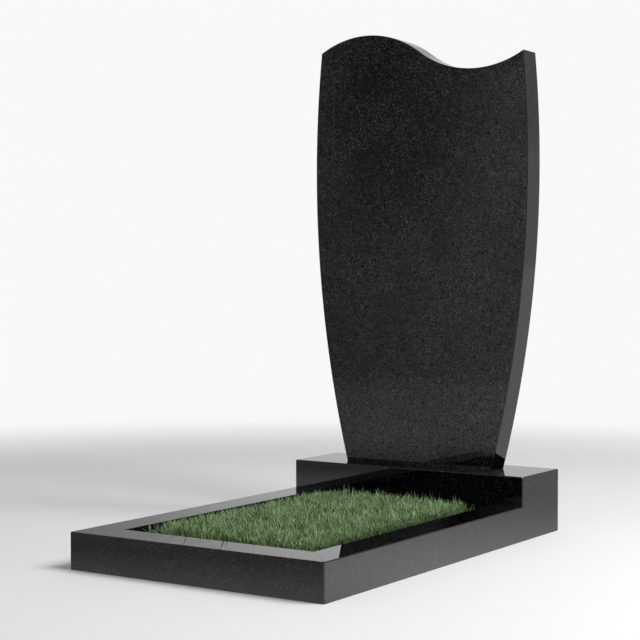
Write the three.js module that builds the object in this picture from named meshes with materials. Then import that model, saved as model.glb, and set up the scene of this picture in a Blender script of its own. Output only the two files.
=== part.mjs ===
// A polished black granite headstone: a wave-topped slab on a plinth, with a low kerb
// that frames a small bed of turf in front of it.
// Millimetres, +Z up. The origin is on the ground, in the middle of the footprint.
// The front of the stone faces -Y, and +X is on its right, seen from the front.

import * as THREE from 'three';
import { mergeVertices } from 'three/addons/utils/BufferGeometryUtils.js';

// Plinth, the block that the slab stands on.
const PLINTH_LENGTH = 640;
const PLINTH_DEPTH = 195;
const PLINTH_HEIGHT = 150;

// Kerb, three bars that run from the plinth's front face round the bed.
const KERB_REACH = 840;
const KERB_HEIGHT = 80;
const SIDE_KERB_WIDTH = 80;
const FRONT_KERB_WIDTH = 85;

// Slab, wide at the shoulders and drawn in to a narrow foot by one long arc on each side.
const SLAB_THICKNESS = 67;
const SLAB_SHOULDER_WIDTH = 597;
const SLAB_SHOULDER_HEIGHT = 730;
const SLAB_SIDE_RADIUS = 2875;
const SLAB_SIDE_STEPS = 20;

// Wave along the slab's top, two equal arcs that meet in one tangent: a crest on the left
// and a hollow on the right.
const CREST_HEIGHT = 1070;
const WAVE_DROP = 103;
const CREST_TO_HOLLOW = 310;
const WAVE_MIDDLE_X = 3;
const WAVE_STEPS = 18;

// Small flat arrises on the polished edges, and the joints between the stones.
const ARRIS = 2;
const JOINT = 0.3;

// Turf, earth with short grass on it. Its sides stay clear of the kerb and the plinth.
const TURF_CLEARANCE = 0.5;
const TURF_EDGE_HEIGHT = 74;
const TURF_CROWN_HEIGHT = 88;
const TURF_EDGE_SLOPE = 16;
const TURF_LUMP = 3;
const TURF_LUMP_SPACING = 190;
const TURF_CELL = 30;

// Places that follow from the sizes.
const FOOTPRINT_DEPTH = KERB_REACH + PLINTH_DEPTH;
const KERB_FRONT_Y = -FOOTPRINT_DEPTH / 2;
const PLINTH_FRONT_Y = KERB_FRONT_Y + KERB_REACH;
const PLINTH_BACK_Y = PLINTH_FRONT_Y + PLINTH_DEPTH;
const SLAB_FRONT_Y = (PLINTH_FRONT_Y + PLINTH_BACK_Y - SLAB_THICKNESS) / 2;
const HALF_LENGTH = PLINTH_LENGTH / 2;

const granite = new THREE.MeshStandardMaterial({ color: 0x17181a, roughness: 0.08, metalness: 0 });
const turf = new THREE.MeshStandardMaterial({ color: 0x5d7a4f, roughness: 0.9, metalness: 0 });

// The outline moved inwards, each side by its own distance. The outline is convex and runs
// anticlockwise, and side i goes from corner i to the next one.
function inset(outline, distances) {
  const sides = outline.map((corner, i) => {
    const next = outline[(i + 1) % outline.length];
    const along = next.clone().sub(corner).normalize();
    const inward = new THREE.Vector2(-along.y, along.x);
    return { point: corner.clone().addScaledVector(inward, distances[i]), along };
  });
  return sides.map((side, i) => {
    const before = sides[(i + sides.length - 1) % sides.length];
    const gap = side.point.clone().sub(before.point);
    const t = gap.cross(side.along) / before.along.cross(side.along);
    return before.point.clone().addScaledVector(before.along, t);
  });
}

// A closed solid through level rings of equal length, each { outline, z }, lowest first.
function stack(rings) {
  const count = rings[0].outline.length;
  const points = rings.flatMap(({ outline, z }) => outline.map((p) => [p.x, p.y, z]));
  const index = [];
  for (let level = 0; level < rings.length - 1; level += 1) {
    for (let i = 0; i < count; i += 1) {
      const a = level * count + i;
      const b = level * count + ((i + 1) % count);
      index.push(a, b, b + count, a, b + count, a + count);
    }
  }
  const last = (rings.length - 1) * count;
  for (const [a, b, c] of THREE.ShapeUtils.triangulateShape(rings[0].outline, [])) {
    index.push(a, c, b);
  }
  for (const [a, b, c] of THREE.ShapeUtils.triangulateShape(rings.at(-1).outline, [])) {
    index.push(last + a, last + b, last + c);
  }
  const geometry = new THREE.BufferGeometry();
  geometry.setAttribute('position', new THREE.Float32BufferAttribute(points.flat(), 3));
  geometry.setIndex(index);
  geometry.computeVertexNormals();
  return geometry;
}

// A stone with upright sides, its top edge cut to an arris on the sides marked as polished.
function uprightStone(outline, height, polished) {
  const top = inset(outline, polished.map((side) => (side ? ARRIS : 0)));
  return stack([
    { outline, z: 0 },
    { outline, z: height - ARRIS },
    { outline: top, z: height },
  ]);
}

function mesh(name, geometry, material) {
  const piece = new THREE.Mesh(geometry, material);
  piece.name = name;
  return piece;
}

// Block with an arris down each upright corner and round its top.
function makePlinth() {
  const x = HALF_LENGTH;
  const y = PLINTH_DEPTH / 2;
  const corners = [[x, -y], [x, y], [-x, y], [-x, -y]];
  const outline = corners.flatMap(([cx, cy]) => {
    const alongX = new THREE.Vector2(cx - Math.sign(cx) * ARRIS, cy);
    const alongY = new THREE.Vector2(cx, cy - Math.sign(cy) * ARRIS);
    return cx * cy < 0 ? [alongX, alongY] : [alongY, alongX];
  });
  const geometry = uprightStone(outline, PLINTH_HEIGHT, outline.map(() => true));
  geometry.translate(0, PLINTH_FRONT_Y + y, 0);
  return mesh('plinth', geometry, granite);
}

// Where the mitre of a front corner leaves the upright arris, on the right-hand side.
function mitreTip() {
  const t = ARRIS / (SIDE_KERB_WIDTH + FRONT_KERB_WIDTH);
  return new THREE.Vector2(HALF_LENGTH - SIDE_KERB_WIDTH * t, KERB_FRONT_Y + FRONT_KERB_WIDTH * t);
}

// Front bar, mitred at both ends.
function makeFrontKerb() {
  const innerX = HALF_LENGTH - SIDE_KERB_WIDTH;
  const innerY = KERB_FRONT_Y + FRONT_KERB_WIDTH;
  const tip = mitreTip();
  const whole = [
    new THREE.Vector2(-HALF_LENGTH + ARRIS, KERB_FRONT_Y),
    new THREE.Vector2(HALF_LENGTH - ARRIS, KERB_FRONT_Y),
    tip,
    new THREE.Vector2(innerX, innerY),
    new THREE.Vector2(-innerX, innerY),
    new THREE.Vector2(-tip.x, tip.y),
  ];
  const outline = inset(whole, [0, 0, JOINT / 2, 0, JOINT / 2, 0]);
  const polished = [true, true, false, true, false, true];
  return mesh('kerb_front', uprightStone(outline, KERB_HEIGHT, polished), granite);
}

// Side bar, mitred at the front and butted against the plinth. side is 1 on the right.
function makeSideKerb(name, side) {
  const innerX = HALF_LENGTH - SIDE_KERB_WIDTH;
  const innerY = KERB_FRONT_Y + FRONT_KERB_WIDTH;
  const whole = [
    new THREE.Vector2(innerX, innerY),
    mitreTip(),
    new THREE.Vector2(HALF_LENGTH, KERB_FRONT_Y + ARRIS),
    new THREE.Vector2(HALF_LENGTH, PLINTH_FRONT_Y),
    new THREE.Vector2(innerX, PLINTH_FRONT_Y),
  ];
  const right = inset(whole, [JOINT / 2, 0, 0, JOINT, 0]);
  // Mirrored and run backwards, the outline meets polished and plain sides in the same order.
  const left = right.map((p) => new THREE.Vector2(-p.x, p.y)).reverse();
  const polished = [false, true, true, false, true];
  return mesh(name, uprightStone(side > 0 ? right : left, KERB_HEIGHT, polished), granite);
}

// Half the slab's width at a height above its foot.
function slabHalfWidth(z) {
  const rise = z - SLAB_SHOULDER_HEIGHT;
  const fall = SLAB_SIDE_RADIUS - Math.sqrt(SLAB_SIDE_RADIUS ** 2 - rise ** 2);
  return SLAB_SHOULDER_WIDTH / 2 - fall;
}

// Height of the wave above the slab's foot.
function waveHeight(x) {
  const half = CREST_TO_HOLLOW / 2;
  const amplitude = WAVE_DROP / 2;
  const radius = (half ** 2 + amplitude ** 2) / WAVE_DROP;
  const u = x - WAVE_MIDDLE_X;
  if (u < 0) {
    return CREST_HEIGHT - radius + Math.sqrt(radius ** 2 - (u + half) ** 2);
  }
  return CREST_HEIGHT - WAVE_DROP + radius - Math.sqrt(radius ** 2 - (u - half) ** 2);
}

// The corner where the wave meets a side arc, found by going back and forth between them.
function slabCorner(side) {
  let z = CREST_HEIGHT - WAVE_DROP / 2;
  for (let i = 0; i < 30; i += 1) {
    z = waveHeight(side * slabHalfWidth(z));
  }
  return new THREE.Vector2(side * slabHalfWidth(z), z);
}

// The slab's face, anticlockwise from the left end of its foot.
function slabOutline() {
  const right = slabCorner(1);
  const left = slabCorner(-1);
  const points = [];
  for (let i = 0; i <= SLAB_SIDE_STEPS; i += 1) {
    const z = (right.y * i) / SLAB_SIDE_STEPS;
    points.push(new THREE.Vector2(slabHalfWidth(z), z));
  }
  const spans = [[right.x, WAVE_MIDDLE_X], [WAVE_MIDDLE_X, left.x]];
  for (const [from, to] of spans) {
    for (let i = 1; i <= WAVE_STEPS; i += 1) {
      const x = from + ((to - from) * i) / WAVE_STEPS;
      points.push(new THREE.Vector2(x, waveHeight(x)));
    }
  }
  for (let i = 1; i <= SLAB_SIDE_STEPS; i += 1) {
    const z = left.y * (1 - i / SLAB_SIDE_STEPS);
    points.push(new THREE.Vector2(-slabHalfWidth(z), z));
  }
  return points;
}

// Slab, its face upright in the XZ plane, with an arris round its front and its back.
function makeSlab() {
  const geometry = new THREE.ExtrudeGeometry(new THREE.Shape(slabOutline()), {
    depth: SLAB_THICKNESS - 2 * ARRIS,
    bevelThickness: ARRIS,
    bevelSize: ARRIS,
    bevelOffset: -ARRIS,
    bevelSegments: 1,
  });
  geometry.rotateX(Math.PI / 2);
  geometry.translate(0, SLAB_FRONT_Y + SLAB_THICKNESS - ARRIS, PLINTH_HEIGHT + JOINT);
  geometry.deleteAttribute('normal');
  geometry.deleteAttribute('uv');
  const whole = mergeVertices(geometry, 0.001);
  whole.computeVertexNormals();
  return mesh('slab', whole, granite);
}

// A grid line of the turf moved so that the outermost cells are one edge slope wide.
function gridLine(value, half, pitch) {
  const outermost = Math.abs(value) > half - pitch / 2;
  return outermost ? value : (value * (half - TURF_EDGE_SLOPE)) / (half - pitch);
}

// Turf, a block of earth whose grass rises from the edges of the bed to a lumpy crown.
function makeTurf() {
  const width = PLINTH_LENGTH - 2 * (SIDE_KERB_WIDTH + TURF_CLEARANCE);
  const front = KERB_FRONT_Y + FRONT_KERB_WIDTH + TURF_CLEARANCE;
  const back = PLINTH_FRONT_Y - TURF_CLEARANCE;
  const length = back - front;
  const columns = Math.max(4, Math.round(width / TURF_CELL));
  const rows = Math.max(4, Math.round(length / TURF_CELL));
  const geometry = new THREE.BoxGeometry(width, length, 1, columns, rows, 1);
  geometry.deleteAttribute('normal');
  geometry.deleteAttribute('uv');
  const whole = mergeVertices(geometry, 0.001);
  const position = whole.getAttribute('position');
  const turn = (2 * Math.PI) / TURF_LUMP_SPACING;
  for (let i = 0; i < position.count; i += 1) {
    const x = gridLine(position.getX(i), width / 2, width / columns);
    const y = gridLine(position.getY(i), length / 2, length / rows);
    const onEdge = Math.abs(x) > width / 2 - 1 || Math.abs(y) > length / 2 - 1;
    const lump = TURF_LUMP * Math.sin(x * turn + 1.2 * Math.sin(y * turn * 0.6)) * Math.cos(y * turn);
    const top = onEdge ? TURF_EDGE_HEIGHT : TURF_CROWN_HEIGHT + lump;
    position.setXYZ(i, x, y, position.getZ(i) < 0 ? 0 : top);
  }
  whole.computeVertexNormals();
  whole.translate(0, (front + back) / 2, 0);
  return mesh('turf', whole, turf);
}

const headstone = new THREE.Group();
headstone.add(makePlinth());
headstone.add(makeSlab());
headstone.add(makeFrontKerb());
headstone.add(makeSideKerb('kerb_left', -1));
headstone.add(makeSideKerb('kerb_right', 1));
headstone.add(makeTurf());

export default headstone;
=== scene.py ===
# A polished black granite headstone with its plinth, its low kerb and a bed of short grass,
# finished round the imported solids. Metres, +Z up. The face of the stone looks along -Y.
import math

import bmesh
import bpy
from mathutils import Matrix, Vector, noise


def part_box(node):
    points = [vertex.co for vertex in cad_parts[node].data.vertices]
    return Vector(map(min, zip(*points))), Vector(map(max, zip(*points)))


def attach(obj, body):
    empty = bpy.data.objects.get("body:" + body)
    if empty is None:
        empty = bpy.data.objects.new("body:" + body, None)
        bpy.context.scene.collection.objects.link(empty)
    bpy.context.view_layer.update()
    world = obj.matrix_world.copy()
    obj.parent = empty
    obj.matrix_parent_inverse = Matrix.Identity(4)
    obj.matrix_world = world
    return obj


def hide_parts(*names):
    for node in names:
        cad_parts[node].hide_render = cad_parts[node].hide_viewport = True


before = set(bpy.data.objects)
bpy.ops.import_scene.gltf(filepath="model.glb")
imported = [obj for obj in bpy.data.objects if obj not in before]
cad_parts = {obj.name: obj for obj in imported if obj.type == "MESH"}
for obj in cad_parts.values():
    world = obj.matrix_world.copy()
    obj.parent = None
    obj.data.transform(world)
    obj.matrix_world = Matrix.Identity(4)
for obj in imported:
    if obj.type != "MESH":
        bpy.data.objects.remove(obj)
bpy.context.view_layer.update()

# Camera, fitted to the edges of the stones in the photograph.
PHOTO_PIXELS = 640
FOCAL_PIXELS = 1562.0
SENSOR_WIDTH = 36.0
CAMERA_PLACE = (1.924, -2.956, 0.615)
CAMERA_TURN = math.radians(33.49)
CAMERA_DIP = math.radians(1.57)
CAMERA_REACH = 200.0

# Slab. Its long side arcs are widest at the shoulders, and two equal arcs make the wave.
SLAB_SHOULDER_HEIGHT = 0.730
SLAB_SIDE_RADIUS = 2.875
WAVE_DROP = 0.103
CREST_TO_HOLLOW = 0.310
WAVE_MIDDLE_X = 0.003
SLAB_SIDE_STEPS = 60
WAVE_STEPS = 48
CORNER_ROUNDS = 40
ARRIS = 0.002
ARRIS_STEPS = 3
ARRIS_END = 0.0004
SHARP_EDGE = math.radians(40)
JOINT_SEARCH = 0.001

# Noise. How fine its detail is, and the range that most of its values keep to.
SMOOTH = 2.0
CLOUDY = 3.0
CRUMBLY = 5.0
NOISE_SPAN = (0.35, 0.65)

# Granite. Grains and flecks are a few millimetres across. Each has a chance from 0 to 1, and its
# chance to the power of a rarity says how pale, dark or dull it is. Pale ones crowd into clouds.
GRAIN = 0.0025
FLECK = 0.0017
GRAIN_RARITY = 4.0
FLECK_RARITY = 20.0
DARK_RARITY = 3.0
CLOUD = 0.016
DRIFT = 0.12
CLOUD_SHARE = 0.6
CLOUD_SPAN = (0.38, 0.62)
CROWD = (0.40, 1.20)
GRANITE_DARK = (0.0006, 0.0006, 0.0007, 1.0)
GRANITE_PALE = (0.30, 0.30, 0.305, 1.0)
GRANITE_ROUGHNESS = 0.015
DULL_GRAINS = 0.05

# Each stone has its own grains, flecks and dark grains: the slab's face is the liveliest, and the plinth's
# the blackest, its faint grains painted shade.
STONES = {
    "slab_face": {"grains": 0.18, "flecks": 0.50, "dark_grains": 1.00, "ior": 1.63},
    "slab_sides": {"grains": 0.04, "flecks": 0.11, "dark_grains": 0.15, "ior": 1.64},
    "slab_back": {"grains": 0.09, "flecks": 0.25, "dark_grains": 0.60, "ior": 1.64},
    # The plinth's faint grains are painted shade.
    "plinth": {"grains": 0.005, "flecks": 0.24, "dark_grains": 0.10, "ior": 1.56},
    "kerb_front": {"grains": 0.10, "flecks": 0.30, "dark_grains": 0.20, "ior": 1.58},
    "kerb_left": {"grains": 0.08, "flecks": 0.22, "dark_grains": 0.20, "ior": 1.58},
    "kerb_right": {"grains": 0.06, "flecks": 0.20, "dark_grains": 0.20, "ior": 1.575},
}

# Earth. It lies below the top of the kerb.
EARTH_TOP = 0.054
EARTH_CELL = 0.008
EARTH_LUMP = 0.004
EARTH_LUMP_SIZE = 0.045
EARTH_DARK = (0.003, 0.0025, 0.002, 1.0)
EARTH_PALE = (0.018, 0.014, 0.010, 1.0)
EARTH_ROUGHNESS = 0.95
EARTH_PATCH = 0.04
CRUMB = 0.004
CRUMB_SHARE = 0.6
CRUMB_RELIEF = 0.6
CRUMB_HEIGHT = 0.003

# Where grass grows. It is short near the stones, darkened with painted shade along the front and the
# right, and missing in two corners. In the strip along the front a few more blades lean over the edge,
# ever fewer towards the right.
BARE_STRIP = 0.006
EDGE_GROWTH = 0.70
EDGE_GROWTH_REACH = {"left": 0.11, "right": 0.05, "front": 0.05, "back": 0.04}
SHADY_STRIP = 0.06
PAINTED_SHADE_TONE = 0.05
BARE_CORNER = 0.055
THIN_CORNER = 0.12
EDGE_STRIP = 0.016
EDGE_STRIP_FULLNESS = 1.3

# Blades. Heights, widths and leans are shares of what is asked of the four sowings.
BLADE_SIDES = 3
BLADE_SEGMENTS = 3
BLADE_HALF_WIDTH = 0.0017
BLADE_ROOT_WIDTH = 0.75
BLADE_SWELL = 2.25
BLADE_FLATNESS = 0.3
BLADE_HEIGHTS = (0.74, 1.12)
BLADE_WIDTHS = (0.65, 1.2)
BLADE_LEANS = (0.1, 1.0)
BLADE_DIP = 0.5
TUFT = 0.035
TUFT_HEIGHTS = (0.88, 1.08)
ALL_ROUND = {"Direction": 0.0, "Spread": 2 * math.pi}
OVER_THE_EDGE = {"Direction": -math.pi / 2, "Spread": 2.4}
LOW_BLADES = {"Blades per square metre": 32000.0, "Height": 0.037, "Lean": 0.95, "Seed": 3}
MIDDLE_BLADES = {"Blades per square metre": 28000.0, "Height": 0.041, "Lean": 0.80, "Seed": 7}
TALL_BLADES = {"Blades per square metre": 2200.0, "Height": 0.047, "Lean": 0.50, "Seed": 11}
EDGE_BLADES = {"Blades per square metre": 4000.0, "Height": 0.054, "Lean": 0.40, "Seed": 17}
RANDOM_STREAMS = ("height", "aim", "lean", "tone", "width", "turn")

# Colours of the blades. A blade's tone goes from 0 to 1, and so does the way along it to its tip. Along it
# a blade goes from a root darkened with painted shade to a tip paled with a painted highlight.
PAINTED_ROOT_SHADE = (0.020, 0.040, 0.011, 1.0)
OLIVE_BLADE = (0.085, 0.092, 0.038, 1.0)
DEEP_BLADE = (0.145, 0.255, 0.088, 1.0)
FRESH_BLADE = (0.360, 0.550, 0.250, 1.0)
PAINTED_TIP_HIGHLIGHT = (0.380, 0.500, 0.320, 1.0)
OLIVE_TO_DEEP = (0.0, 0.3)
DEEP_TO_FRESH = (0.2, 1.0)
PAINTED_HIGHLIGHT_TONES = (0.25, 0.9)
ROOT_TO_BODY = (0.0, 0.85)
BODY_TO_TIP = (0.55, 1.0)
OWN_TONE_SHARE = 0.65
PATCH = 0.05
GRASS_ROUGHNESS = 0.62
GRASS_GLOSS = 0.35

# The blades' map. Each tone has a column, and the corners take three places across it in turn.
BLADE_MAP = "OFBake"
TONE_COLUMNS = 64.0
MAP_PLACES = 3.0
MAP_FIRST_PLACE = 0.2
MAP_PLACE_STEP = 0.3
MAP_MARGIN = 0.01

# Sky. Angles are compass-like, in degrees: 0 looks along +Y, 90 along +X. In front, the sky and
# what lies below the horizon both brighten as the angle makes a turn.
BACKGROUND = 0.94
BEHIND = (110.0, 60.0)
BACK_SKY = 0.36
FRONT_SKY = (0.29, 0.47)
FRONT_SKY_TURN = (-146.0, -154.0)
HAZE = 0.12
HAZE_TOP = (7.5, 4.0)
HORIZON = (-4.4, -3.3)
BELOW_HORIZON = 0.60
FRONT_BELOW = (0.52, 0.78)
FRONT_BELOW_TURN = (-148.5, -154.5)

# Patches of the sky: a bright panel, a round dim patch, a dark flag and a dark gap. An edge is a
# pair of angles: a patch starts at the first and is full at the second.
PANEL = 0.42
PANEL_EDGES = {"left": (-42.5, -32.5), "right": (18.0, -8.0), "top": (75.0, 35.0)}
DIM_PATCH = 0.22
DIM_PATCH_CENTRE = (-149.6, 9.0)
DIM_PATCH_REACH = (3.9, 10.0)
DIM_PATCH_TOP = (11.0, 9.8)
FLAG = 0.36
FLAG_EDGES = {"left": (-154.4, -153.4), "right": (-150.6, -151.6), "foot": (7.2, 8.2), "top": (16.0, 13.0)}
GAP_EDGES = {"left": (6.0, 14.0), "right": (42.0, 34.0), "foot": (16.0, 18.0), "top": (28.0, 24.0)}

# Floor. The stones mirror a floor that glows with painted light, brightest in a painted pool of light at
# the right. In front its glow slopes along X and Y, between a least and a most, darker to the left and
# further out as painted shade.
FLOOR_COLOUR = 0.80
FLOOR_ROUGHNESS = 0.9
FLOOR_GLOSS = 0.1
FLOOR_SEGMENTS = 96
FLOOR_SOLID_RADIUS = 1.7
FLOOR_END_RADIUS = 3.4
POOL_CENTRE = (0.30, -0.20, 0.0)
POOL_REACH = (1.3, -0.15)
POOL_GLOW = (0.57, 1.40)
POOL_SIDE = (0.85, 0.53)
POOL_SIDE_EDGE = (-0.03, 0.05)
FRONT_GLOW = 1.42
FRONT_GLOW_SLOPE = (0.35, 1.3)
FRONT_GLOW_LEAST = 0.32
FRONT_GLOW_MOST = 0.80
FRONT_GLOW_REACH = (1.8, 0.9)

# The one lamp, high on the right.
SOFTBOX = {"place": (2.6, 0.3, 3.4), "aim": (0.3, -0.1, 0.0), "size": 2.2, "power": 170.0}


class Flow:
    """A node's output that Python's arithmetic turns into Math nodes."""

    def __init__(self, graph, socket):
        self.graph = graph
        self.socket = socket

    def __getitem__(self, name):
        return Flow(self.graph, self.socket.node.outputs[name])

    def __add__(self, other):
        return self.graph.maths("ADD", self, other)

    def __radd__(self, other):
        return self.graph.maths("ADD", other, self)

    def __sub__(self, other):
        return self.graph.maths("SUBTRACT", self, other)

    def __rsub__(self, other):
        return self.graph.maths("SUBTRACT", other, self)

    def __mul__(self, other):
        return self.graph.maths("MULTIPLY", self, other)

    def __rmul__(self, other):
        return self.graph.maths("MULTIPLY", other, self)

    def __truediv__(self, other):
        return self.graph.maths("DIVIDE", self, other)

    def __pow__(self, other):
        return self.graph.maths("POWER", self, other)


class Graph:
    """A node tree, with one method that adds any node to it."""

    def __init__(self, tree):
        self.tree = tree

    def add(self, kind, settings=None, values=None, out=0):
        """A node of that kind. Its settings are set first, then its sockets get values or links."""
        node = self.tree.nodes.new(kind)
        for name, value in (settings or {}).items():
            setattr(node, name, value)
        for name, value in (values or {}).items():
            self.feed(node.inputs[name], value)
        return Flow(self, node.outputs[out])

    def feed(self, socket, value):
        if isinstance(value, Flow):
            self.tree.links.new(value.socket, socket)
        else:
            socket.default_value = value

    def maths(self, operation, *values):
        return self.add("ShaderNodeMath", {"operation": operation}, dict(enumerate(values)))

    def vector_maths(self, operation, *values, out=0):
        return self.add("ShaderNodeVectorMath", {"operation": operation}, dict(enumerate(values)), out)

    def blend(self, factor, one, other):
        """Colour one where factor is 0 and the other where it is 1."""
        values = {0: factor, 6: one, 7: other}
        return self.add("ShaderNodeMix", {"data_type": "RGBA"}, values, out=2)

    def noise(self, place, size, detail):
        """Smooth noise from 0 to 1, with lumps of that size."""
        values = {"Vector": place, "Scale": 1 / size, "Detail": detail}
        return self.add("ShaderNodeTexNoise", values=values, out="Fac")

    def between(self, value, low, high, to_low=0.0, to_high=1.0):
        """A smooth step from to_low to to_high as value goes from low to high."""
        values = {"Value": value, "From Min": low, "From Max": high, "To Min": to_low, "To Max": to_high}
        return self.add("ShaderNodeMapRange", {"interpolation_type": "SMOOTHSTEP"}, values)


def grey(value):
    return (value, value, value, 1.0)


def new_material(name):
    """A material with its graph and its Principled shader."""
    material = bpy.data.materials.new(name)
    material.use_nodes = True
    return material, Graph(material.node_tree), material.node_tree.nodes["Principled BSDF"]


def wear(piece, material):
    piece.data.materials.clear()
    piece.data.materials.append(material)


def new_piece(name, mesh):
    piece = bpy.data.objects.new(name, mesh)
    bpy.context.scene.collection.objects.link(piece)
    return piece


# Materials

def polished_granite(name, grains, flecks, dark_grains, ior):
    """Near-black granite, polished, with fine pale grains that gather in faint clouds. Its darkest
    grains also mirror less, which Metallic gives them, as their colour is nearly black."""
    material, graph, shader = new_material(name)
    place = graph.add("ShaderNodeTexCoord", out="Object")
    cells = graph.add("ShaderNodeTexVoronoi", values={"Vector": place, "Scale": 1 / GRAIN})
    chance = graph.add("ShaderNodeSeparateColor", values={"Color": cells["Color"]})
    fine_cells = graph.add("ShaderNodeTexVoronoi", values={"Vector": place, "Scale": 1 / FLECK})
    fleck_chance = graph.add("ShaderNodeSeparateColor", values={"Color": fine_cells["Color"]})
    clouds = graph.noise(place, CLOUD, CLOUDY)
    drift = graph.noise(place, DRIFT, SMOOTH)
    crowd = graph.between(clouds * CLOUD_SHARE + drift * (1 - CLOUD_SHARE), *CLOUD_SPAN, *CROWD)
    grain_share = chance["Red"] ** GRAIN_RARITY * grains
    fleck_share = fleck_chance["Green"] ** FLECK_RARITY * flecks
    pale = (grain_share + fleck_share) * crowd
    graph.feed(shader.inputs["Base Color"], graph.blend(pale, GRANITE_DARK, GRANITE_PALE))
    dull = chance["Blue"] ** GRAIN_RARITY * crowd * DULL_GRAINS
    graph.feed(shader.inputs["Roughness"], dull + GRANITE_ROUGHNESS)
    graph.feed(shader.inputs["Metallic"], chance["Green"] ** DARK_RARITY * dark_grains)
    shader.inputs["IOR"].default_value = ior
    return material


def damp_earth():
    """Dark crumbly earth."""
    material, graph, shader = new_material("damp_earth")
    place = graph.add("ShaderNodeTexCoord", out="Object")
    crumbs = graph.noise(place, CRUMB, CRUMBLY)
    patches = graph.noise(place, EARTH_PATCH, SMOOTH)
    shade = graph.between(crumbs * CRUMB_SHARE + patches * (1 - CRUMB_SHARE), *NOISE_SPAN)
    graph.feed(shader.inputs["Base Color"], graph.blend(shade, EARTH_DARK, EARTH_PALE))
    shader.inputs["Roughness"].default_value = EARTH_ROUGHNESS
    relief = {"Height": crumbs, "Strength": CRUMB_RELIEF, "Distance": CRUMB_HEIGHT}
    graph.feed(shader.inputs["Normal"], graph.add("ShaderNodeBump", values=relief))
    return material


def grass_green():
    """Grass blades. Across its map a blade takes one tone. Along it the blade goes from painted shade at
    its root to a painted highlight at its tip.
    """
    material, graph, shader = new_material("grass_green")
    chart = graph.add("ShaderNodeUVMap", {"uv_map": BLADE_MAP})
    parts = graph.add("ShaderNodeSeparateXYZ", values={"Vector": chart})
    tone, along = parts["X"], parts["Y"]
    dull = graph.blend(graph.between(tone, *OLIVE_TO_DEEP), OLIVE_BLADE, DEEP_BLADE)
    body = graph.blend(graph.between(tone, *DEEP_TO_FRESH), dull, FRESH_BLADE)
    # Painted highlight: the tips of the brighter tones pale towards grey.
    pale = graph.between(along, *BODY_TO_TIP) * graph.between(tone, *PAINTED_HIGHLIGHT_TONES)
    tip_highlighted = graph.blend(pale, body, PAINTED_TIP_HIGHLIGHT)
    # Painted shade: each blade darkens towards its root.
    root_shaded = graph.blend(graph.between(along, *ROOT_TO_BODY), PAINTED_ROOT_SHADE, tip_highlighted)
    graph.feed(shader.inputs["Base Color"], root_shaded)
    shader.inputs["Roughness"].default_value = GRASS_ROUGHNESS
    shader.inputs["Specular IOR Level"].default_value = GRASS_GLOSS
    return material


# Slab

def slab_half_width(z, shoulder_half_width):
    rise = z - SLAB_SHOULDER_HEIGHT
    return shoulder_half_width - SLAB_SIDE_RADIUS + math.sqrt(SLAB_SIDE_RADIUS**2 - rise**2)


def wave_height(x, crest):
    """Height of the wave above the slab's foot."""
    half = CREST_TO_HOLLOW / 2
    amplitude = WAVE_DROP / 2
    radius = (half**2 + amplitude**2) / WAVE_DROP
    u = x - WAVE_MIDDLE_X
    if u < 0:
        return crest - radius + math.sqrt(radius**2 - (u + half) ** 2)
    return crest - WAVE_DROP + radius - math.sqrt(radius**2 - (u - half) ** 2)


def slab_outline(shoulder_half_width, crest):
    """The face's outline as (x, z), anticlockwise seen from the front, from foot to foot. Each upper
    corner lies on both the wave and a side arc, and the rounds close in on it."""
    ends = {}
    for side in (1, -1):
        z = crest
        for _ in range(CORNER_ROUNDS):
            z = wave_height(side * slab_half_width(z, shoulder_half_width), crest)
        ends[side] = (side * slab_half_width(z, shoulder_half_width), z)
    (right_x, right_z), (left_x, left_z) = ends[1], ends[-1]
    points = []
    for i in range(SLAB_SIDE_STEPS + 1):
        z = right_z * i / SLAB_SIDE_STEPS
        points.append((slab_half_width(z, shoulder_half_width), z))
    for i in range(1, 2 * WAVE_STEPS + 1):
        x = right_x + (left_x - right_x) * i / (2 * WAVE_STEPS)
        points.append((x, wave_height(x, crest)))
    for i in range(1, SLAB_SIDE_STEPS + 1):
        z = left_z * (1 - i / SLAB_SIDE_STEPS)
        points.append((-slab_half_width(z, shoulder_half_width), z))
    return points


def inset_outline(points, distance):
    """The outline moved inwards along its corners' bisectors. Its foot stays down on the plinth."""
    moved = []
    for i in range(1, len(points) - 1):
        here = Vector(points[i])
        before = (here - Vector(points[i - 1])).normalized()
        after = (Vector(points[i + 1]) - here).normalized()
        inward_a = Vector((-before.y, before.x))
        inward_b = Vector((-after.y, after.x))
        middle = (inward_a + inward_b).normalized()
        moved.append(here + middle * (distance / middle.dot(inward_a)))
    right, left = points[0], points[-1]
    return [Vector((right[0] - distance, right[1])), *moved, Vector((left[0] + distance, left[1]))]


def fill_joint(name, points, finish):
    """A joint's filling, level with the stones and of their colour, so that it hardly shows."""
    mesh = bmesh.new()
    for point in points:
        mesh.verts.new(point)
    bmesh.ops.convex_hull(mesh, input=mesh.verts)
    bmesh.ops.recalc_face_normals(mesh, faces=mesh.faces)
    data = bpy.data.meshes.new(name)
    mesh.to_mesh(data)
    mesh.free()
    piece = new_piece(name, data)
    wear(piece, finish)
    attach(piece, "root")


def facing_corners(one, other):
    """The corners of two stones that lie close together, on both sides of their joint."""
    sides = []
    for node in (one, other):
        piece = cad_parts[node]
        sides.append([piece.matrix_world @ vertex.co for vertex in piece.data.vertices])
    near = []
    for mine, yours in (sides, sides[::-1]):
        near += [corner for corner in mine if min((corner - c).length for c in yours) < JOINT_SEARCH]
    return near


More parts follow.
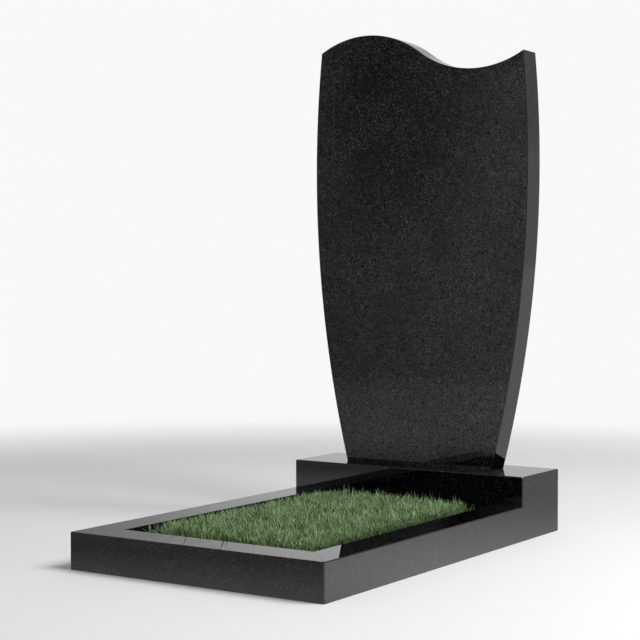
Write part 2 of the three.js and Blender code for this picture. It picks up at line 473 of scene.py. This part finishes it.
def make_joints(granite):
    """Fillings of the mitres at the front and of the joints between kerb and plinth. Those at the
    plinth run round its upright arris, so that no groove is left beside it."""
    plinth_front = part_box("plinth")[0].y
    for side in ("left", "right"):
        kerb = "kerb_" + side
        fill_joint("joint_front_" + side, facing_corners("kerb_front", kerb), granite["kerb_front"])
        low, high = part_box(kerb)
        outer, inner = (low.x, high.x) if side == "left" else (high.x, low.x)
        inwards = math.copysign(ARRIS, inner - outer)
        section = [(inner, high.y), (outer, high.y), (outer, plinth_front + ARRIS)]
        section += [(outer + inwards, plinth_front), (inner, plinth_front)]
        body = [(x, y, z) for x, y in section for z in (low.z, high.z - ARRIS)]
        crown_ends = (inner - inwards, outer + inwards)
        crown = [(x, y, high.z) for x in crown_ends for y in (high.y, plinth_front)]
        fill_joint("joint_back_" + side, body + crown, granite[kerb])


def make_slab(finishes):
    """The upright stone, with eased arrises round its front and its back. The finishes are those of
    its face, its sides and its back."""
    low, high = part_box("slab")
    points = slab_outline((high.x - low.x) / 2, high.z - low.z)
    levels = [(ARRIS + ARRIS_END, 0.0)]
    for i in range(ARRIS_STEPS + 1):
        turn = math.pi / 2 * i / ARRIS_STEPS
        levels.append((ARRIS * (1 - math.sin(turn)), ARRIS * (1 - math.cos(turn))))
    levels.append((0.0, ARRIS + ARRIS_END))
    front = [(inwards, low.y + depth) for inwards, depth in levels]
    back = [(inwards, high.y - depth) for inwards, depth in reversed(levels)]
    mesh = bmesh.new()
    rings = []
    for inwards, y in front + back:
        outline = inset_outline(points, inwards)
        rings.append([mesh.verts.new((p.x, y, low.z + p.y)) for p in outline])
    count = len(points)
    for near, far in zip(rings, rings[1:]):
        for i in range(count):
            j = (i + 1) % count
            mesh.faces.new((near[i], far[i], far[j], near[j]))
    face = mesh.faces.new(rings[0])
    rear = mesh.faces.new(reversed(rings[-1]))
    bmesh.ops.recalc_face_normals(mesh, faces=mesh.faces)
    for side in mesh.faces:
        side.smooth = True
        side.material_index = 1
    face.material_index = 0
    rear.material_index = 2
    for edge in mesh.edges:
        edge.smooth = edge.calc_face_angle() < SHARP_EDGE
    bmesh.ops.triangulate(mesh, faces=[face, rear])
    data = bpy.data.meshes.new("slab_polished")
    mesh.to_mesh(data)
    mesh.free()
    for finish in finishes:
        data.materials.append(finish)
    piece = new_piece("slab_polished", data)
    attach(piece, "root")
    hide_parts("slab")


# Bed

def earth_height(x, y):
    lump = noise.noise((x / EARTH_LUMP_SIZE, y / EARTH_LUMP_SIZE, 0.0))
    return EARTH_TOP + EARTH_LUMP * lump


def earth_grid(low, high):
    """Lines of a grid over the bed, each about a cell apart."""
    lines = []
    for axis in (0, 1):
        count = round((high[axis] - low[axis]) / EARTH_CELL)
        lines.append([low[axis] + (high[axis] - low[axis]) * i / count for i in range(count + 1)])
    return lines


def make_earth(material):
    """A closed block of earth with a crumbly top."""
    low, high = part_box("turf")
    xs, ys = earth_grid(low, high)
    mesh = bmesh.new()
    top = [[mesh.verts.new((x, y, earth_height(x, y))) for x in xs] for y in ys]
    foot = [[None] * len(xs) for _ in ys]
    last_row, last_column = len(ys) - 1, len(xs) - 1
    for j, y in enumerate(ys):
        for i, x in enumerate(xs):
            if i in (0, last_column) or j in (0, last_row):
                foot[j][i] = mesh.verts.new((x, y, low.z))
    for j in range(last_row):
        for i in range(last_column):
            mesh.faces.new((top[j][i], top[j][i + 1], top[j + 1][i + 1], top[j + 1][i])).smooth = True
    rim = [(0, i) for i in range(last_column)]
    rim += [(j, last_column) for j in range(last_row)]
    rim += [(last_row, i) for i in range(last_column, 0, -1)]
    rim += [(j, 0) for j in range(last_row, 0, -1)]
    for (j, i), (n, m) in zip(rim, rim[1:] + rim[:1]):
        mesh.faces.new((foot[j][i], foot[n][m], top[n][m], top[j][i]))
    mesh.faces.new([foot[j][i] for j, i in reversed(rim)])
    data = bpy.data.meshes.new("earth")
    mesh.to_mesh(data)
    mesh.free()
    piece = new_piece("earth", data)
    wear(piece, material)
    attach(piece, "root")
    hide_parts("turf")


def growth(x, y, low, high):
    """How tall grass grows at a place, as a share: less and less towards the stones."""
    room = {"left": x - low.x, "right": high.x - x, "front": y - low.y, "back": high.y - y}
    share = min(1.0, *(room[side] / EDGE_GROWTH_REACH[side] for side in room))
    return EDGE_GROWTH + (1 - EDGE_GROWTH) * math.sin(share * math.pi / 2)


def thickness(x, y, low, high):
    """How densely grass grows at a place, as a share: not at all in two of the corners."""
    nearest = min(math.hypot(x - low.x, y - low.y), math.hypot(high.x - x, high.y - y))
    return max(0.0, min(1.0, (nearest - BARE_CORNER) / (THIN_CORNER - BARE_CORNER)))


def painted_daylight(x, y, low, high):
    """How light the blades are painted at a place, as a share: painted shade darkens them along the front
    and the right.
    """
    return min(1.0, (y - low.y) / SHADY_STRIP, (high.x - x) / SHADY_STRIP)


def front_strip(x, y, low, high):
    """How densely grass grows in the strip along the front kerb: less and less to the right."""
    if y - low.y > EDGE_STRIP or x - low.x < BARE_CORNER:
        return 0.0
    return min(1.0, EDGE_STRIP_FULLNESS * (high.x - x) / (high.x - low.x))


def make_ground_to_sow(cover):
    """The patch of earth that grass grows on, as a loose surface. It is removed after sowing. The
    function cover gives how densely grass grows at a place."""
    low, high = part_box("turf")
    edge = Vector((BARE_STRIP, BARE_STRIP, 0.0))
    xs, ys = earth_grid(low + edge, high - edge)
    mesh = bmesh.new()
    vigour = mesh.verts.layers.float.new("growth")
    crowd = mesh.verts.layers.float.new("thickness")
    light = mesh.verts.layers.float.new("painted_daylight")
    rows = []
    for y in ys:
        rows.append([mesh.verts.new((x, y, earth_height(x, y))) for x in xs])
        for vertex in rows[-1]:
            vertex[vigour] = growth(vertex.co.x, y, low, high)
            vertex[crowd] = cover(vertex.co.x, y, low, high)
            vertex[light] = painted_daylight(vertex.co.x, y, low, high)
    for below, above in zip(rows, rows[1:]):
        for i in range(len(xs) - 1):
            mesh.faces.new((below[i], below[i + 1], above[i + 1], above[i]))
    data = bpy.data.meshes.new("ground_to_sow")
    mesh.to_mesh(data)
    mesh.free()
    return new_piece("ground_to_sow", data)


def random_value(graph, seed, stream, low, high):
    """A random number for each point, from the stream of that name."""
    values = {"Min": low, "Max": high, "Seed": seed + (RANDOM_STREAMS.index(stream) + 1)}
    node = graph.add("FunctionNodeRandomValue", {"data_type": "FLOAT"})
    inner = node.socket.node
    for name, value in values.items():
        socket = next(s for s in inner.inputs if s.name == name and s.enabled)
        graph.feed(socket, value)
    return Flow(graph, next(s for s in inner.outputs if s.enabled))


def store(graph, geometry, name, kind, domain, value):
    """Keeps a value under a name on each point or corner."""
    node = graph.add("GeometryNodeStoreNamedAttribute", {"data_type": kind, "domain": domain})
    inner = node.socket.node
    graph.feed(inner.inputs["Geometry"], geometry)
    inner.inputs["Name"].default_value = name
    graph.feed(next(s for s in inner.inputs if s.name == "Value" and s.enabled), value)
    return Flow(graph, inner.outputs["Geometry"])


def recall(graph, name, kind):
    node = graph.add("GeometryNodeInputNamedAttribute", {"data_type": kind}, {"Name": name})
    return Flow(graph, next(s for s in node.socket.node.outputs if s.enabled and s.name == "Attribute"))


def vector(graph, x=0.0, y=0.0, z=0.0):
    return graph.add("ShaderNodeCombineXYZ", values={"X": x, "Y": y, "Z": z})


def blade_shape(graph):
    """One upright blade of height 1, widest low down and pointed, with a flat three-sided section.
    Each point keeps the way along the blade that it stands for."""
    sizes = {
        "Vertices": BLADE_SIDES,
        "Side Segments": BLADE_SEGMENTS,
        "Radius Top": 0.0,
        "Radius Bottom": 1.0,
        "Depth": 1.0,
    }
    cone = graph.add("GeometryNodeMeshCone", {"fill_type": "NGON"}, sizes, out="Mesh")
    here = graph.add("ShaderNodeSeparateXYZ", values={"Vector": graph.add("GeometryNodeInputPosition")})
    swell = here["Z"] * BLADE_SWELL + BLADE_ROOT_WIDTH
    shaped = vector(graph, here["X"] * swell, here["Y"] * swell * BLADE_FLATNESS, here["Z"])
    blade = graph.add("GeometryNodeSetPosition", values={"Geometry": cone, "Position": shaped})
    return store(graph, blade, "along", "FLOAT", "POINT", here["Z"])


def grass_tree():
    """Sows blades on a surface, each with its own height, lean, turn and tone."""
    tree = bpy.data.node_groups.new("grass", "GeometryNodeTree")
    sockets = [
        ("Ground", "NodeSocketGeometry"),
        ("Blades per square metre", "NodeSocketFloat"),
        ("Height", "NodeSocketFloat"),
        ("Half width", "NodeSocketFloat"),
        ("Lean", "NodeSocketFloat"),
        ("Direction", "NodeSocketFloat"),
        ("Spread", "NodeSocketFloat"),
        ("Seed", "NodeSocketInt"),
        ("Material", "NodeSocketMaterial"),
    ]
    for name, kind in sockets:
        tree.interface.new_socket(name, in_out="INPUT", socket_type=kind)
    tree.interface.new_socket("Grass", in_out="OUTPUT", socket_type="NodeSocketGeometry")
    graph = Graph(tree)
    asked = graph.add("NodeGroupInput")
    seed = asked["Seed"]
    here = graph.add("GeometryNodeInputPosition")
    tufts = graph.noise(here, TUFT, SMOOTH)
    density = asked["Blades per square metre"] * recall(graph, "thickness", "FLOAT")
    sown = graph.add(
        "GeometryNodeDistributePointsOnFaces",
        {"distribute_method": "RANDOM"},
        {"Mesh": asked["Ground"], "Density": density, "Seed": seed},
    )
    vigour = recall(graph, "growth", "FLOAT") * graph.between(tufts, *NOISE_SPAN, *TUFT_HEIGHTS)
    reach = asked["Height"] * random_value(graph, seed, "height", *BLADE_HEIGHTS) * vigour
    aim = asked["Direction"] + random_value(graph, seed, "aim", -0.5, 0.5) * asked["Spread"]
    bend = asked["Lean"] * random_value(graph, seed, "lean", *BLADE_LEANS)
    sideways = reach * bend
    lean = vector(graph, graph.maths("COSINE", aim) * sideways, graph.maths("SINE", aim) * sideways)
    points = store(graph, sown, "lean", "FLOAT_VECTOR", "POINT", lean)
    points = store(graph, points, "dip", "FLOAT", "POINT", sideways * bend * BLADE_DIP)
    patches = graph.between(graph.noise(here, PATCH, SMOOTH), *NOISE_SPAN)
    own_tone = random_value(graph, seed, "tone", 0.0, 1.0)
    # Painted shade: the blades' tone darkens along the front and the right.
    light = graph.between(recall(graph, "painted_daylight", "FLOAT"), 0.0, 1.0, PAINTED_SHADE_TONE, 1.0)
    tone = (own_tone * OWN_TONE_SHARE + patches * (1 - OWN_TONE_SHARE)) * light
    points = store(graph, points, "tone", "FLOAT", "POINT", tone)
    width = asked["Half width"] * random_value(graph, seed, "width", *BLADE_WIDTHS)
    turn = random_value(graph, seed, "turn", 0.0, 2 * math.pi)
    planted = graph.add(
        "GeometryNodeInstanceOnPoints",
        values={
            "Points": points,
            "Instance": blade_shape(graph),
            "Rotation": vector(graph, 0.0, 0.0, turn),
            "Scale": vector(graph, width, width, reach),
        },
    )
    real = graph.add("GeometryNodeRealizeInstances", values={"Geometry": planted})
    along = recall(graph, "along", "FLOAT")
    curve = along * along
    curve_aside = vector(graph, curve, curve, 0.0)
    moved = graph.vector_maths("MULTIPLY", recall(graph, "lean", "FLOAT_VECTOR"), curve_aside)
    fall = vector(graph, 0.0, 0.0, recall(graph, "dip", "FLOAT") * curve * -1.0)
    offset = graph.vector_maths("ADD", moved, fall)
    bent = graph.add("GeometryNodeSetPosition", values={"Geometry": real, "Offset": offset})
    column = graph.maths("FLOOR", recall(graph, "tone", "FLOAT") * TONE_COLUMNS)
    place = graph.maths("MODULO", graph.add("GeometryNodeInputIndex"), MAP_PLACES)
    across = (column + (place * MAP_PLACE_STEP + MAP_FIRST_PLACE)) / TONE_COLUMNS
    chart = vector(graph, across, along * (1 - 2 * MAP_MARGIN) + MAP_MARGIN)
    mapped = store(graph, bent, BLADE_MAP, "FLOAT2", "CORNER", chart)
    for name in ("lean", "dip", "tone", "along", "growth", "thickness", "painted_daylight"):
        mapped = graph.add("GeometryNodeRemoveAttribute", values={"Geometry": mapped, "Name": name})
    dressed = graph.add(
        "GeometryNodeSetMaterial", values={"Geometry": mapped, "Material": asked["Material"]}
    )
    result = tree.nodes.new("NodeGroupOutput")
    graph.feed(result.inputs["Grass"], dressed)
    return tree


def make_grass(name, ground, tree, wishes, material, mirrored=False):
    """Sows the ground once and keeps the result as a plain mesh. The stones' polish mirrors only
    grass that is asked for as mirrored."""
    sower = ground.modifiers.new("grass", "NODES")
    sower.node_group = tree
    wishes = {**wishes, "Half width": BLADE_HALF_WIDTH, "Material": material}
    for item in tree.interface.items_tree:
        if item.in_out == "INPUT" and item.name in wishes:
            sower[item.identifier] = wishes[item.name]
    depsgraph = bpy.context.evaluated_depsgraph_get()
    data = bpy.data.meshes.new_from_object(ground.evaluated_get(depsgraph), depsgraph=depsgraph)
    data.name = name
    ground.modifiers.remove(sower)
    piece = new_piece(name, data)
    piece.visible_glossy = mirrored
    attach(piece, "root")
    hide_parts("turf")


def make_bed():
    make_earth(damp_earth())
    tree = grass_tree()
    green = grass_green()
    ground = make_ground_to_sow(thickness)
    for name, wishes in (("low", LOW_BLADES), ("middle", MIDDLE_BLADES), ("tall", TALL_BLADES)):
        make_grass("grass_" + name, ground, tree, {**wishes, **ALL_ROUND}, green)
    bpy.data.objects.remove(ground)
    ground = make_ground_to_sow(front_strip)
    make_grass("grass_edge", ground, tree, {**EDGE_BLADES, **OVER_THE_EDGE}, green, mirrored=True)
    bpy.data.objects.remove(ground)


# Studio

def make_camera():
    lens = bpy.data.cameras.new("camera")
    lens.sensor_width = SENSOR_WIDTH
    lens.lens = FOCAL_PIXELS / PHOTO_PIXELS * SENSOR_WIDTH
    lens.clip_end = CAMERA_REACH
    camera = new_piece("camera", lens)
    camera.location = CAMERA_PLACE
    camera.rotation_euler = (math.pi / 2 - CAMERA_DIP, 0.0, CAMERA_TURN)
    bpy.context.scene.camera = camera


def painted_floor_glow(graph, place):
    """How bright the floor looks in the polished stones: a painted glow, with a painted pool of light at
    the right and painted shade in front.
    """
    parts = graph.add("ShaderNodeSeparateXYZ", values={"Vector": place})
    x, y = parts["X"], parts["Y"]
    from_pool = graph.vector_maths("DISTANCE", place, POOL_CENTRE, out="Value")
    at_right = graph.between(from_pool, *POOL_REACH, *POOL_GLOW)
    at_front = x * FRONT_GLOW_SLOPE[0] + y * FRONT_GLOW_SLOPE[1] + FRONT_GLOW
    at_front = graph.maths("MAXIMUM", at_front, FRONT_GLOW_LEAST)
    at_front = graph.maths("MINIMUM", at_front, FRONT_GLOW_MOST)
    distance = graph.vector_maths("LENGTH", place, out="Value")
    near = graph.between(distance, *FRONT_GLOW_REACH)
    at_front = at_front * near + (1.0 - near) * BELOW_HORIZON
    on_right = graph.between(x * POOL_SIDE[0] + y * POOL_SIDE[1], *POOL_SIDE_EDGE)
    return at_right * on_right + at_front * (1.0 - on_right)


def make_floor():
    """A pale round floor that fades out into the background. The polished stones see it as a painted glow
    instead of its lit colour.
    """
    mesh = bmesh.new()
    bmesh.ops.create_circle(mesh, cap_ends=True, segments=FLOOR_SEGMENTS, radius=FLOOR_END_RADIUS)
    data = bpy.data.meshes.new("floor")
    mesh.to_mesh(data)
    mesh.free()
    floor = new_piece("floor", data)
    material, graph, shader = new_material("pale_floor")
    shader.inputs["Base Color"].default_value = grey(FLOOR_COLOUR)
    shader.inputs["Roughness"].default_value = FLOOR_ROUGHNESS
    shader.inputs["Specular IOR Level"].default_value = FLOOR_GLOSS
    place = graph.add("ShaderNodeTexCoord", out="Object")
    # Painted reflection: the floor glows for the stones' polish with a painted pool of light and painted
    # shade.
    painted_glow = graph.add("ShaderNodeEmission", values={"Strength": painted_floor_glow(graph, place)})
    mirrored = graph.add("ShaderNodeLightPath", out="Is Glossy Ray")
    lit = Flow(graph, shader.outputs["BSDF"])
    lit = graph.add("ShaderNodeMixShader", values={0: mirrored, 1: lit, 2: painted_glow})
    distance = graph.vector_maths("LENGTH", place, out="Value")
    solid = graph.between(distance, FLOOR_SOLID_RADIUS, FLOOR_END_RADIUS, 1.0, 0.0)
    clear = graph.add("ShaderNodeBsdfTransparent")
    floor_shader = graph.add("ShaderNodeMixShader", values={0: solid, 1: clear, 2: lit})
    output = material.node_tree.nodes["Material Output"]
    graph.feed(output.inputs["Surface"], floor_shader)
    wear(floor, material)


def sky_patch(graph, heading, height, left, right, top, foot=None):
    """A patch of the sky with soft edges: 1 inside it and 0 outside."""
    patch = graph.between(heading, *right) * graph.between(heading, *left)
    if foot:
        patch = patch * graph.between(height, *foot)
    return patch * graph.between(height, *top)


def make_sky():
    """Soft light from all round, with brighter and dimmer patches that the stones mirror. The camera
    itself sees a plain pale ground."""
    world = bpy.data.worlds.new("studio")
    bpy.context.scene.world = world
    world.use_nodes = True
    graph = Graph(world.node_tree)
    ray = graph.add("ShaderNodeTexCoord", out="Generated")
    way = graph.add("ShaderNodeSeparateXYZ", values={"Vector": ray})
    heading = graph.maths("ARCTAN2", way["X"], way["Y"]) * math.degrees(1)
    height = graph.maths("ARCSINE", way["Z"]) * math.degrees(1)
    behind = graph.between(graph.maths("ABSOLUTE", heading), *BEHIND)
    haze = graph.between(height, *HAZE_TOP) * HAZE
    front_sky = graph.between(heading, *FRONT_SKY_TURN, *FRONT_SKY)
    sky = (haze + BACK_SKY) * behind + front_sky * (1.0 - behind)
    panel = sky_patch(graph, heading, height, **PANEL_EDGES) * PANEL
    across = (heading - DIM_PATCH_CENTRE[0]) / DIM_PATCH_REACH[0]
    up = (height - DIM_PATCH_CENTRE[1]) / DIM_PATCH_REACH[1]
    dim = graph.between(across * across + up * up, 1.0, 0.0)
    dim = dim * graph.between(height, *DIM_PATCH_TOP) * DIM_PATCH
    flag = sky_patch(graph, heading, height, **FLAG_EDGES) * FLAG
    gap = sky_patch(graph, heading, height, **GAP_EDGES) * BACK_SKY
    above = sky + panel - dim - flag - gap
    ground = graph.between(height, *HORIZON, 1.0, 0.0)
    front_below = graph.between(heading, *FRONT_BELOW_TURN, *FRONT_BELOW)
    below = front_below * (1.0 - behind) + behind * BELOW_HORIZON
    strength = above * (1.0 - ground) + ground * below
    seen = graph.add("ShaderNodeLightPath", out="Is Camera Ray")
    strength = strength * (1.0 - seen) + seen * BACKGROUND
    background = world.node_tree.nodes["Background"]
    background.inputs["Color"].default_value = grey(1.0)
    graph.feed(background.inputs["Strength"], strength)


def make_lamp(name, place, aim, size, power):
    lamp = bpy.data.lights.new(name, "AREA")
    lamp.size = size
    lamp.energy = power
    piece = new_piece(name, lamp)
    piece.location = place
    piece.rotation_euler = (Vector(aim) - Vector(place)).to_track_quat("-Z", "Y").to_euler()


def make_studio():
    make_floor()
    make_sky()
    make_lamp("softbox_right", **SOFTBOX)
    bpy.context.scene.view_settings.view_transform = "Standard"


make_camera()
granite = {node: polished_granite("granite_" + node, **stone) for node, stone in STONES.items()}
for node in ("plinth", "kerb_front", "kerb_left", "kerb_right"):
    wear(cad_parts[node], granite[node])
make_slab([granite["slab_face"], granite["slab_sides"], granite["slab_back"]])
make_joints(granite)
make_bed()
make_studio()
